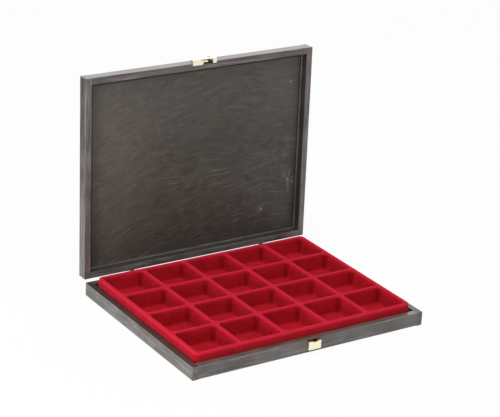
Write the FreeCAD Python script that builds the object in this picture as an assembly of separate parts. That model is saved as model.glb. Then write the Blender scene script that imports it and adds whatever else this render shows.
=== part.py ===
import FreeCAD, Part
import math
import os

# Wooden coin collection box with a flocked compartment tray, stored with its lid open.
# Millimetres, +Z up, +X right, front towards -Y, origin at the centre of the underside.
# Every piece is drawn with the lid shut, and the lid's pieces are swung open at the end.

# Compartments of the tray
columns = 5
rows = 4
cell_width = 51.5
cell_length = 49.8
cell_draft = 2.0
cell_corner = 4.0
rib_width = 4.4
rib_bevel = 1.3

# Tray, pressed from one sheet
tray_height = 21.0
sheet = 1.2
tray_border = 4.8
skirt_draft = 1.2
tray_corner = 6.0
tray_lip_round = 2.0
tray_play_x = 2.9
tray_play_y = 2.6
tray_side_gap = 0.4

# Wooden frames and panels
rail_thickness = 7.5
base_height = 16.0
seam_gap = 0.1
edge_round = 0.9
seam_bevel = 0.3
base_panel_thickness = 4.5
base_rebate = 3.2
lid_panel_thickness = 3.8
lid_rebate = 4.0
lid_head_room = 0.7
panel_play = 0.1

# Stop hinges
open_angle = 91.0
hinge_count = 2
hinge_spacing = 180.0
hinge_width = 18.0
knuckle_count = 3
knuckle_gap = 0.15
pin_offset = 2.4
pin_diameter = 1.6
pin_running_clearance = 0.05
barrel_diameter = 3.2
leaf_thickness = 0.9
leaf_height = 8.0
barrel_clearance = 0.2
stop_reach = 3.7
stop_thickness = 0.8
stop_play_angle = 0.2

# Catch on the base, a folded box of sheet brass with prongs at its back
lock_x = 0.4
brass_sheet = 0.8
catch_width = 16.5
catch_height = 10.2
catch_depth = 6.0
catch_drop = 0.3
catch_bevel = 0.5
slot_width = 6.4
slot_notch = 1.0
prong_height = 1.6
prong_length = 5.0
prong_play = 0.05

# Latch case on the lid, its sizes measured from the middle of the catch
latch_width = 32.4
latch_shift = 1.7
latch_height = 9.6
latch_depth = 4.2
latch_lift = 0.05
latch_corner = 6.5
latch_bevel = 0.6
window_left = -0.25
window_right = 12.5
left_tab_depth = 2.6
right_tab_depth = 2.3
tab_corner = 1.6
tab_play = 0.1
mortise_depth = 2.2
mortise_height = 5.0
latch_prong_rise = 2.0

# Turning hook inside the latch case
hook_thickness = 1.0
hook_front_gap = 0.6
hook_pivot_x = 2.0
hook_pivot_height = 5.0
hook_boss_diameter = 4.8
hook_neck_left = 1.1
hook_neck_right = 2.9
hook_reach = 4.3
hook_barb_width = 4.0
hook_barb_height = 1.9
hook_barb_slope = 0.9
hook_arm_width = 2.4
thumb_x = 10.0
thumb_rise = 1.1
thumb_width = 2.0
thumb_length = 2.4
thumb_stand = 1.0
thumb_slot_play = 0.4
hook_turn = 9.0
pivot_diameter = 1.4
pivot_head_diameter = 3.0
pivot_head_height = 0.5
pivot_grip = 5.0

# Sizes that follow from the ones above
grid_width = columns * cell_width + (columns - 1) * rib_width
grid_length = rows * cell_length + (rows - 1) * rib_width
tray_width = grid_width + 2 * (tray_border + skirt_draft)
tray_length = grid_length + 2 * (tray_border + skirt_draft)
inner_width = tray_width + tray_play_x
inner_length = tray_length + tray_play_y
case_width = inner_width + 2 * rail_thickness
case_length = inner_length + 2 * rail_thickness
tray_x = -inner_width / 2 + tray_side_gap + tray_width / 2
tray_y = -inner_length / 2 + tray_side_gap + tray_length / 2
tray_floor = base_panel_thickness
tray_top = tray_floor + tray_height
lid_bottom = base_height + seam_gap
lid_ceiling = tray_top + lid_head_room
lid_top = lid_ceiling + lid_panel_thickness
front_face = -case_length / 2
back_face = case_length / 2
pin_y = back_face + pin_offset
pin_z = base_height + seam_gap / 2
pin_radius = pin_diameter / 2
barrel_radius = barrel_diameter / 2
cut_over = 1.0

X_AXIS = FreeCAD.Vector(1, 0, 0)
Y_AXIS = FreeCAD.Vector(0, 1, 0)
Z_AXIS = FreeCAD.Vector(0, 0, 1)


def block(x0, x1, y0, y1, z0, z1):
    return Part.makeBox(x1 - x0, y1 - y0, z1 - z0, FreeCAD.Vector(x0, y0, z0))


def rod(radius, start, end):
    start = FreeCAD.Vector(*start)
    end = FreeCAD.Vector(*end)
    return Part.makeCylinder(radius, (end - start).Length, start, end - start)


def tapered_block(width, length, corner, centre_x, centre_y, z0, z1, widening):
    wide = width / 2 + widening
    long = length / 2 + widening
    solid = Part.makeWedge(-width / 2, z0, -length / 2, -long, -wide, width / 2, z1, length / 2, long, wide)
    solid.rotate(FreeCAD.Vector(0, 0, 0), X_AXIS, 90)
    solid.translate(FreeCAD.Vector(centre_x, centre_y, 0))
    if corner > 0:
        solid = solid.makeFillet(corner, edges_where(solid, lambda box: box.ZLength > z1 - z0 - 1e-4))
    return solid


def turned(profile, origin, direction):
    points = [FreeCAD.Vector(radius, 0, height) for radius, height in profile]
    face = Part.Face(Part.makePolygon(points + points[:1]))
    solid = face.revolve(FreeCAD.Vector(0, 0, 0), Z_AXIS, 360)
    solid.Placement = FreeCAD.Placement(
        FreeCAD.Vector(*origin), FreeCAD.Rotation(Z_AXIS, FreeCAD.Vector(*direction)))
    return solid


def edges_where(shape, test):
    found = []
    for edge in shape.Edges:
        box = edge.BoundBox
        if test(box):
            found.append(edge)
    return found


def level_edges(shape, z):
    return edges_where(shape, lambda box: abs(box.ZMin - z) < 1e-4 and abs(box.ZMax - z) < 1e-4)


# Wooden frames
def frame_rail(side, z0, z1):
    if side in ("left", "right"):
        sign = -1 if side == "left" else 1
        near = sign * (case_width / 2 - rail_thickness)
        far = sign * case_width / 2
        return block(min(near, far), max(near, far), front_face, back_face, z0, z1)
    sign = -1 if side == "front" else 1
    near = sign * (case_length / 2 - rail_thickness)
    far = sign * case_length / 2
    return block(-inner_width / 2, inner_width / 2, min(near, far), max(near, far), z0, z1)


def on_outside(box, side):
    if side == "left":
        return box.XMax < -case_width / 2 + 1e-4
    if side == "right":
        return box.XMin > case_width / 2 - 1e-4
    if side == "front":
        return box.YMax < front_face + 1e-4
    return box.YMin > back_face - 1e-4


def soften_outside(rail, side, outer_z, seam_z):
    def outer(box):
        upright = box.ZLength > 1.0 and side in ("left", "right")
        at_outer_level = abs(box.ZMin - outer_z) < 1e-4 and abs(box.ZMax - outer_z) < 1e-4
        return on_outside(box, side) and (upright or at_outer_level)

    def seam(box):
        at_seam = abs(box.ZMin - seam_z) < 1e-4 and abs(box.ZMax - seam_z) < 1e-4
        return on_outside(box, side) and at_seam

    rail = rail.makeFillet(edge_round, edges_where(rail, outer))
    return rail.makeChamfer(seam_bevel, edges_where(rail, seam))


def base_panel_footprint(margin, z0, z1):
    half_x = inner_width / 2 + base_rebate - margin
    half_y = inner_length / 2 + base_rebate - margin
    return block(-half_x, half_x, -half_y, half_y, z0, z1)


def lid_panel_footprint(margin, z0, z1):
    half_x = inner_width / 2 + lid_rebate - margin
    half_y = inner_length / 2 + lid_rebate - margin
    return block(-half_x, half_x, -half_y, half_y, z0, z1)


def base_rail(side):
    rail = soften_outside(frame_rail(side, 0, base_height), side, 0, base_height)
    rail = rail.cut(base_panel_footprint(0, -cut_over, base_panel_thickness))
    if side == "front":
        for prong in prongs(0, catch_width, catch_prong_z(), prong_play):
            rail = rail.cut(at_lock(prong))
    return rail


def lid_rail(side):
    rail = soften_outside(frame_rail(side, lid_bottom, lid_top), side, lid_top, lid_bottom)
    rail = rail.cut(lid_panel_footprint(0, lid_ceiling, lid_top + cut_over))
    if side == "front":
        rail = rail.cut(at_lock(latch_cutouts()))
    return rail


def base_panel():
    return base_panel_footprint(panel_play, 0, base_panel_thickness)


def lid_panel():
    return lid_panel_footprint(panel_play, lid_ceiling, lid_top)


# Tray with its compartments, hollow underneath as a pressed sheet is
def cell_centres():
    for column in range(columns):
        for row in range(rows):
            x = tray_x + (column - (columns - 1) / 2) * (cell_width + rib_width)
            y = tray_y + (row - (rows - 1) / 2) * (cell_length + rib_width)
            yield x, y


def coin_tray():
    outside = tapered_block(tray_width, tray_length, tray_corner, tray_x, tray_y,
                            tray_floor, tray_top, -skirt_draft)
    outside = outside.makeFillet(tray_lip_round, level_edges(outside, tray_top))
    floor_width = cell_width - 2 * cell_draft
    floor_length = cell_length - 2 * cell_draft
    pockets = []
    pocket_backs = []
    for x, y in cell_centres():
        pockets.append(tapered_block(floor_width, floor_length, cell_corner, x, y,
                                     tray_floor + sheet, tray_top, cell_draft))
        pocket_backs.append(tapered_block(floor_width + 2 * sheet, floor_length + 2 * sheet, 0, x, y,
                                          tray_floor, tray_top, cell_draft))
    tray = outside.cut(Part.makeCompound(pockets))
    inner_edges = edges_where(tray, lambda box: abs(box.ZMin - tray_top) < 1e-4
                              and abs(box.ZMax - tray_top) < 1e-4
                              and inside_tray_lip(box))
    tray = tray.makeChamfer(rib_bevel, inner_edges)
    hollow = tapered_block(tray_width - 2 * sheet, tray_length - 2 * sheet, 0, tray_x, tray_y,
                           tray_floor, tray_top - sheet, -skirt_draft)
    hollow = hollow.cut(Part.makeCompound(pocket_backs))
    return tray.cut(hollow)


def inside_tray_lip(box):
    half_x = grid_width / 2 + tray_border / 4
    half_y = grid_length / 2 + tray_border / 4
    return (box.XMin > tray_x - half_x and box.XMax < tray_x + half_x
            and box.YMin > tray_y - half_y and box.YMax < tray_y + half_y)


# Hinges
def hinge_places():
    first = -hinge_spacing * (hinge_count - 1) / 2
    return [first + index * hinge_spacing for index in range(hinge_count)]


def knuckle_spans(x, first):
    pitch = hinge_width / knuckle_count
    spans = []
    for index in range(first, knuckle_count, 2):
        start = x - hinge_width / 2 + index * pitch
        left = start if index == 0 else start + knuckle_gap / 2
        right = start + pitch if index == knuckle_count - 1 else start + pitch - knuckle_gap / 2
        spans.append((left, right))
    return spans


def beside_pin(left, right, y0, y1, reach0, reach1, upward):
    return block(left, right, y0, y1, min(pin_z + upward * reach0, pin_z + upward * reach1),
                 max(pin_z + upward * reach0, pin_z + upward * reach1))


def hinge_leaf(x, side):
    upward = 1 if side == "lid" else -1
    left_end = x - hinge_width / 2
    right_end = x + hinge_width / 2
    outer = back_face + leaf_thickness
    clear = barrel_radius + barrel_clearance
    root = pin_radius + (barrel_radius - pin_radius) / 3
    edge = seam_gap / 2
    leaf = beside_pin(left_end, right_end, back_face, outer, clear, clear + leaf_height, upward)
    stop = beside_pin(left_end, right_end, pin_y + clear, pin_y + stop_reach, 0, stop_thickness, upward)
    for left, right in knuckle_spans(x, 1 if side == "lid" else 0):
        leaf = leaf.fuse(beside_pin(left, right, back_face, outer, edge, clear + cut_over, upward))
        leaf = leaf.fuse(beside_pin(left, right, back_face, pin_y - root, edge, edge + leaf_thickness, upward))
        leaf = leaf.fuse(rod(barrel_radius, (left, pin_y, pin_z), (right, pin_y, pin_z)))
        stop = stop.fuse(beside_pin(left, right, pin_y + root, pin_y + clear + cut_over,
                                    0, stop_thickness, upward))
    stop.rotate(FreeCAD.Vector(x, pin_y, pin_z), X_AXIS,
                upward * (open_angle + stop_play_angle) / 2)
    leaf = leaf.fuse(stop)
    bore = rod(pin_radius + pin_running_clearance,
               (left_end - cut_over, pin_y, pin_z), (right_end + cut_over, pin_y, pin_z))
    return leaf.cut(bore).removeSplitter()


def hinge_pin(x):
    return rod(pin_radius, (x - hinge_width / 2, pin_y, pin_z), (x + hinge_width / 2, pin_y, pin_z))


# The lock's pieces are drawn about the middle of the catch and moved to their place
def at_lock(shape):
    moved = shape.copy()
    moved.translate(FreeCAD.Vector(lock_x, 0, 0))
    return moved


# Prongs at the back of a brass piece's side walls, driven into the wood
def prongs(middle, width, z, play):
    found = []
    for turn in (-1, 1):
        outer = middle + turn * width / 2
        inner = outer - turn * brass_sheet
        found.append(block(min(outer, inner) - play, max(outer, inner) + play,
                           front_face - brass_sheet / 2, front_face + prong_length + play,
                           z - prong_height / 2 - play, z + prong_height / 2 + play))
    return found


# Catch on the base
def catch_top():
    return base_height - catch_drop


def catch_prong_z():
    return catch_top() - catch_height / 2


def catch_box():
    top = catch_top()
    outside = block(-catch_width / 2, catch_width / 2, front_face - catch_depth, front_face,
                    top - catch_height, top)
    outside = outside.makeChamfer(catch_bevel, edges_where(
        outside, lambda box: box.YMax < front_face - catch_depth + 1e-4))
    inside = block(-catch_width / 2 + brass_sheet, catch_width / 2 - brass_sheet,
                   front_face - catch_depth + brass_sheet, front_face - brass_sheet,
                   top - catch_height + brass_sheet, top - brass_sheet)
    slot = block(-slot_width / 2, slot_width / 2, front_face - catch_depth - cut_over,
                 front_face - brass_sheet, top - slot_notch, top + cut_over)
    box = outside.cut(inside).cut(slot)
    return box.multiFuse(prongs(0, catch_width, catch_prong_z(), 0)).removeSplitter()


# Latch on the lid
def latch_bottom():
    return lid_bottom + latch_lift


def latch_left():
    return latch_shift - latch_width / 2


def latch_right():
    return latch_shift + latch_width / 2


def latch_tab(left, right, depth, play):
    tab = block(left - play, right + play, front_face - cut_over / 4, front_face + depth + play,
                latch_bottom(), latch_bottom() + brass_sheet)
    inner_corners = edges_where(
        tab, lambda box: box.YMin > front_face + depth - 1e-4 and box.ZLength > brass_sheet / 2)
    return tab.makeFillet(tab_corner + play, inner_corners)


def latch_tabs(play):
    return [latch_tab(latch_left(), window_left, left_tab_depth, play),
            latch_tab(window_right, latch_right(), right_tab_depth, play)]


def latch_case():
    z0 = latch_bottom()
    z1 = z0 + latch_height
    outside = block(latch_left(), latch_right(), front_face - latch_depth, front_face, z0, z1)
    top_corners = edges_where(outside, lambda box: box.ZMin > z1 - 1e-4 and box.YLength > 1.0)
    outside = outside.makeFillet(latch_corner, top_corners)
    outside = outside.makeChamfer(latch_bevel, edges_where(
        outside, lambda box: box.YMax < front_face - latch_depth + 1e-4))
    inside = block(latch_left() + brass_sheet, latch_right() - brass_sheet,
                   front_face - latch_depth + brass_sheet, front_face + cut_over,
                   z0 + brass_sheet, z1 - brass_sheet)
    inside = inside.makeFillet(latch_corner - brass_sheet, edges_where(
        inside, lambda box: box.ZMin > z1 - brass_sheet - 1e-4 and box.YLength > 1.0))
    case = outside.cut(inside)
    window = block(window_left, window_right, front_face - latch_depth + brass_sheet,
                   front_face + cut_over, z0 - cut_over, z0 + brass_sheet + cut_over)
    case = case.cut(window)
    case = case.multiFuse(latch_tabs(0) + prongs(latch_shift, latch_width, latch_prong_z(), 0))
    case = case.cut(thumb_slot())
    case = case.cut(pivot_hole())
    return case.removeSplitter()


def latch_prong_z():
    return latch_bottom() + latch_prong_rise


def hook_pivot_z():
    return lid_bottom + hook_pivot_height


def pivot_hole():
    radius = pivot_diameter / 2 + pin_running_clearance
    return rod(radius, (hook_pivot_x, front_face - latch_depth - cut_over, hook_pivot_z()),
               (hook_pivot_x, front_face + pivot_grip + pin_running_clearance, hook_pivot_z()))


def latch_pivot():
    shank = latch_depth + pivot_grip
    profile = [
        (0, -pivot_head_height),
        (pivot_head_diameter / 2, -pivot_head_height),
        (pivot_head_diameter / 2, 0),
        (pivot_diameter / 2, 0),
        (pivot_diameter / 2, shank),
        (0, shank),
    ]
    return turned(profile, (hook_pivot_x, front_face - latch_depth, hook_pivot_z()), (0, 1, 0))


def latch_cutouts():
    mortise = block(window_left, window_right, front_face - cut_over, front_face + mortise_depth,
                    lid_bottom - cut_over, lid_bottom + mortise_height)
    pockets = []
    for tab in latch_tabs(tab_play):
        below = tab.copy()
        below.translate(FreeCAD.Vector(0, 0, -brass_sheet / 2))
        pockets += [tab, below]
    holes = prongs(latch_shift, latch_width, latch_prong_z(), prong_play)
    return mortise.multiFuse(pockets + holes + [pivot_hole()])


def thumb_block(margin):
    z = hook_pivot_z() + thumb_rise
    return block(thumb_x - thumb_width / 2 - margin, thumb_x + thumb_width / 2 + margin,
                 front_face - latch_depth - thumb_stand,
                 front_face - latch_depth + brass_sheet + hook_front_gap + hook_thickness / 2,
                 z - thumb_length / 2 - margin, z + thumb_length / 2 + margin)


def thumb_slot():
    start = thumb_block(thumb_slot_play)
    drop = (thumb_x - hook_pivot_x) * math.sin(math.radians(hook_turn))
    end = thumb_block(thumb_slot_play)
    end.translate(FreeCAD.Vector(0, 0, -drop))
    slot = start.fuse(end).BoundBox
    return block(slot.XMin, slot.XMax, slot.YMin - cut_over,
                 front_face - latch_depth + brass_sheet + hook_front_gap / 2, slot.ZMin, slot.ZMax)


def flat_plate(points, y0, y1):
    corners = [FreeCAD.Vector(x, y0, z) for x, z in points]
    face = Part.Face(Part.makePolygon(corners + corners[:1]))
    return face.extrude(FreeCAD.Vector(0, y1 - y0, 0))


def latch_hook():
    front = front_face - latch_depth + brass_sheet + hook_front_gap
    back = front + hook_thickness
    pivot_z = hook_pivot_z()
    tip = lid_bottom - hook_reach
    boss = rod(hook_boss_diameter / 2, (hook_pivot_x, front, pivot_z), (hook_pivot_x, back, pivot_z))
    barb_left = hook_neck_left - hook_barb_width
    tongue = flat_plate([
        (hook_neck_left, pivot_z),
        (hook_neck_left, tip + hook_barb_height),
        (barb_left, tip + hook_barb_height),
        (barb_left, tip + hook_barb_slope),
        (hook_neck_left, tip),
        (hook_neck_right, tip),
        (hook_neck_right, pivot_z),
    ], front, back)
    arm_z = pivot_z + thumb_rise
    arm = block(hook_pivot_x, thumb_x + thumb_width / 2, front, back,
                arm_z - hook_arm_width / 2, arm_z + hook_arm_width / 2)
    hook = boss.multiFuse([tongue, arm, thumb_block(0)])
    hook = hook.cut(pivot_hole())
    return hook.removeSplitter()


# Assembly
def swing_open(shape):
    opened = shape.copy()
    opened.rotate(FreeCAD.Vector(0, pin_y, pin_z), X_AXIS, -open_angle)
    return opened


def build():
    fixed = {"base_panel": base_panel(), "coin_tray": coin_tray(), "catch_box": at_lock(catch_box())}
    swung = {"lid_panel": lid_panel(), "latch_case": at_lock(latch_case()),
             "latch_pivot": at_lock(latch_pivot()), "latch_hook": at_lock(latch_hook())}
    for side in ("left", "right", "front", "back"):
        fixed["base_%s_rail" % side] = base_rail(side)
        swung["lid_%s_rail" % side] = lid_rail(side)
    for number, x in enumerate(hinge_places(), 1):
        fixed["hinge_%d_base_leaf" % number] = hinge_leaf(x, "base")
        fixed["hinge_%d_pin" % number] = hinge_pin(x)
        swung["hinge_%d_lid_leaf" % number] = hinge_leaf(x, "lid")
    nodes = dict(fixed)
    for name, shape in swung.items():
        nodes[name] = swing_open(shape)
    return nodes


os.makedirs("parts", exist_ok=True)
for name, shape in build().items():
    shape.exportStep(os.path.join("parts", name + ".step"))
print("case %.1f x %.1f x %.1f mm shut" % (case_width, case_length, lid_top))
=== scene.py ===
import math

import bmesh
import bpy
from mathutils import Matrix, Vector, noise


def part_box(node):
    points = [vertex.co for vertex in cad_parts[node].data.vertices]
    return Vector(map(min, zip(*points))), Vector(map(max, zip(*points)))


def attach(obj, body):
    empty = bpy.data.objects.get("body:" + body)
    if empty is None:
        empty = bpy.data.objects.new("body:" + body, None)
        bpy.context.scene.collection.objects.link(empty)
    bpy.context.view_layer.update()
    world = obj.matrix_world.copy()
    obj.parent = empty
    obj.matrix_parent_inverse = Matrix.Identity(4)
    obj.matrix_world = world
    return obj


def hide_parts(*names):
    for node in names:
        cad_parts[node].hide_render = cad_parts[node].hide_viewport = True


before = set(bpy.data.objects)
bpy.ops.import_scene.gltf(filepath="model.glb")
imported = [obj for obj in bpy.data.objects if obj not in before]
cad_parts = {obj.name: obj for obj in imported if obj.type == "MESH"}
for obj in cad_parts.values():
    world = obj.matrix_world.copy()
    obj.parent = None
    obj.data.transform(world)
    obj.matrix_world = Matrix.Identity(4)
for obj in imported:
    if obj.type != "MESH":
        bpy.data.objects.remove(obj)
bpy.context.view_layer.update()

# Metres throughout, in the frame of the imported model
MM = 0.001
X, Y, Z = 0, 1, 2

# Camera, fitted to the photograph's outline
IMAGE_WIDTH = 500
SENSOR_WIDTH = 36.0
FOCAL_PIXELS = 1809.9
CAMERA_PLACE = Vector((-1.05111, -1.56962, 0.88383))
CAMERA_YAW = math.radians(33.55)
CAMERA_DIP = math.radians(21.88)
CAMERA_ROLL = math.radians(2.93)
CLIP_START = 0.05
CLIP_END = 50.0

# Flocked tray
COLUMNS = 5
ROWS = 4
CELL_WIDTH = 51.5 * MM
CELL_LENGTH = 49.8 * MM
RIB_WIDTH = 4.4 * MM
CELL_DRAFT = 2.0 * MM
CELL_CORNER = 4.2 * MM
SMALLEST_CORNER = 0.8 * MM
FLOOR_ROUND = 2.2 * MM
RIB_ROUND = 1.5 * MM
LIP_ROUND = 2.3 * MM
TRAY_CORNER = 6.0 * MM
TRAY_BORDER = 4.8 * MM
SKIRT_DRAFT = 1.2 * MM
SKIRT_CLEARANCE = 0.1 * MM
SHEET = 1.2 * MM
SHEET_SHARE = 0.8
FLOCK_WAVE = 0.12 * MM
WAVES_PER_METRE = 90.0
FLOCK_SEED = 1
LEVEL_CREST = 0.5 * MM
WELD_DISTANCE = 0.01 * MM
CORNER_STEPS = 8
SIDE_STEPS = 8
ROUND_STEPS = 5
WALL_STEPS = 5
FLOOR_STEPS = 4
SKIRT_STEPS = 6

# Lid, in its shut place
OPEN_ANGLE = math.radians(91.0)
OPEN_LEAN = OPEN_ANGLE - math.pi / 2
RECESS_WIDTH = 290.0 * MM
RECESS_LENGTH = 227.0 * MM
RECESS_CEILING = 26.2 * MM
PANEL_MIDDLE = 12.0 * MM
BEAD_WIDTH = 1.8 * MM
BEAD_HEIGHT = 1.4 * MM
BEAD_STEPS = 5

# Brass
METAL_EDGE = 0.12 * MM
METAL_EDGE_ANGLE = math.radians(50.0)

# Hinge screws
SCREW_SPACING = 10.0 * MM
SCREW_HEAD = 3.2 * MM
SCREW_DOME = 0.35 * MM
SCREW_SINK = 0.4 * MM
SCREW_FOOT_SHARE = 0.9
SCREW_RING_SHARES = (0.2, 0.45, 0.7, 0.9, 1.0)
SCREW_SLOT_WIDTH = 0.5 * MM
SCREW_SLOT_DEPTH = 0.3 * MM
SLOT_OVERREACH = 1.2
SCREW_STEPS = 32
BASE_SCREW_TURNS = (0.4, 1.4)
LID_SCREW_TURNS = (1.9, 0.9)
LEAF_THICKNESS = 0.9 * MM


# Mesh helpers
def link_object(name, mesh, smooth):
    for polygon in mesh.polygons:
        polygon.use_smooth = smooth
    obj = bpy.data.objects.new(name, mesh)
    bpy.context.scene.collection.objects.link(obj)
    return obj


def object_from_faces(name, verts, faces):
    mesh = bpy.data.meshes.new(name)
    mesh.from_pydata(verts, [], faces)
    mesh.validate()
    return link_object(name, mesh, smooth=False)


def object_from_bmesh(name, bm, smooth):
    mesh = bpy.data.meshes.new(name)
    bm.to_mesh(mesh)
    bm.free()
    return link_object(name, mesh, smooth)


def bridge(bm, a, b):
    """Quads between two closed loops with the same number of points."""
    for i in range(len(a)):
        j = (i + 1) % len(a)
        bm.faces.new((a[i], a[j], b[j], b[i]))


def apply_modifiers(obj):
    depsgraph = bpy.context.evaluated_depsgraph_get()
    mesh = bpy.data.meshes.new_from_object(obj.evaluated_get(depsgraph))
    obj.modifiers.clear()
    old = obj.data
    obj.data = mesh
    bpy.data.meshes.remove(old)


def rounded_rectangle(half_x, half_y, radius):
    """Points round a rectangle with rounded corners, the same number for every size."""
    points = []
    corners = [(1, 1, 0), (-1, 1, 90), (-1, -1, 180), (1, -1, 270)]
    for index, (sx, sy, start) in enumerate(corners):
        cx = sx * (half_x - radius)
        cy = sy * (half_y - radius)
        for step in range(CORNER_STEPS + 1):
            angle = math.radians(start + 90.0 * step / CORNER_STEPS)
            points.append((cx + radius * math.cos(angle), cy + radius * math.sin(angle)))
        nx, ny, next_start = corners[(index + 1) % 4]
        angle = math.radians(next_start)
        end_x = nx * (half_x - radius) + radius * math.cos(angle)
        end_y = ny * (half_y - radius) + radius * math.sin(angle)
        first_x, first_y = points[-1]
        for step in range(1, SIDE_STEPS):
            t = step / SIDE_STEPS
            points.append((first_x + (end_x - first_x) * t, first_y + (end_y - first_y) * t))
    return points


def onto_rectangle(points, inner_x, inner_y, half_x, half_y):
    """Each point moved straight out, or from its corner outwards, onto a sharp rectangle."""
    moved = []
    for x, y in points:
        dx = max(abs(x) - inner_x, 0.0)
        dy = max(abs(y) - inner_y, 0.0)
        if dx > 0 and dy > 0:
            scale = min((half_x - inner_x) / dx, (half_y - inner_y) / dy)
            px = inner_x + dx * scale
            py = inner_y + dy * scale
        elif dx > 0:
            px, py = half_x, abs(y)
        else:
            px, py = abs(x), half_y
        moved.append((math.copysign(px, x), math.copysign(py, y)))
    return moved


# Camera
def place_camera():
    forward = Vector((math.sin(CAMERA_YAW) * math.cos(CAMERA_DIP),
                      math.cos(CAMERA_YAW) * math.cos(CAMERA_DIP),
                      -math.sin(CAMERA_DIP)))
    level_right = Vector((math.cos(CAMERA_YAW), -math.sin(CAMERA_YAW), 0.0))
    level_up = level_right.cross(forward)
    right = level_right * math.cos(CAMERA_ROLL) + level_up * math.sin(CAMERA_ROLL)
    up = level_up * math.cos(CAMERA_ROLL) - level_right * math.sin(CAMERA_ROLL)
    data = bpy.data.cameras.new("camera")
    data.sensor_fit = "HORIZONTAL"
    data.sensor_width = SENSOR_WIDTH
    data.lens = FOCAL_PIXELS / IMAGE_WIDTH * SENSOR_WIDTH
    data.clip_start = CLIP_START
    data.clip_end = CLIP_END
    camera = bpy.data.objects.new("camera", data)
    bpy.context.scene.collection.objects.link(camera)
    axes = Matrix((right, up, -forward)).transposed()
    camera.matrix_world = Matrix.Translation(CAMERA_PLACE) @ axes.to_4x4()
    bpy.context.scene.camera = camera


# Places of the colour sockets on a mix node
MIX_A = 6
MIX_B = 7
MIX_RESULT = 2

# Noise textures vary about this level
NOISE_MIDDLE = 0.5


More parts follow.
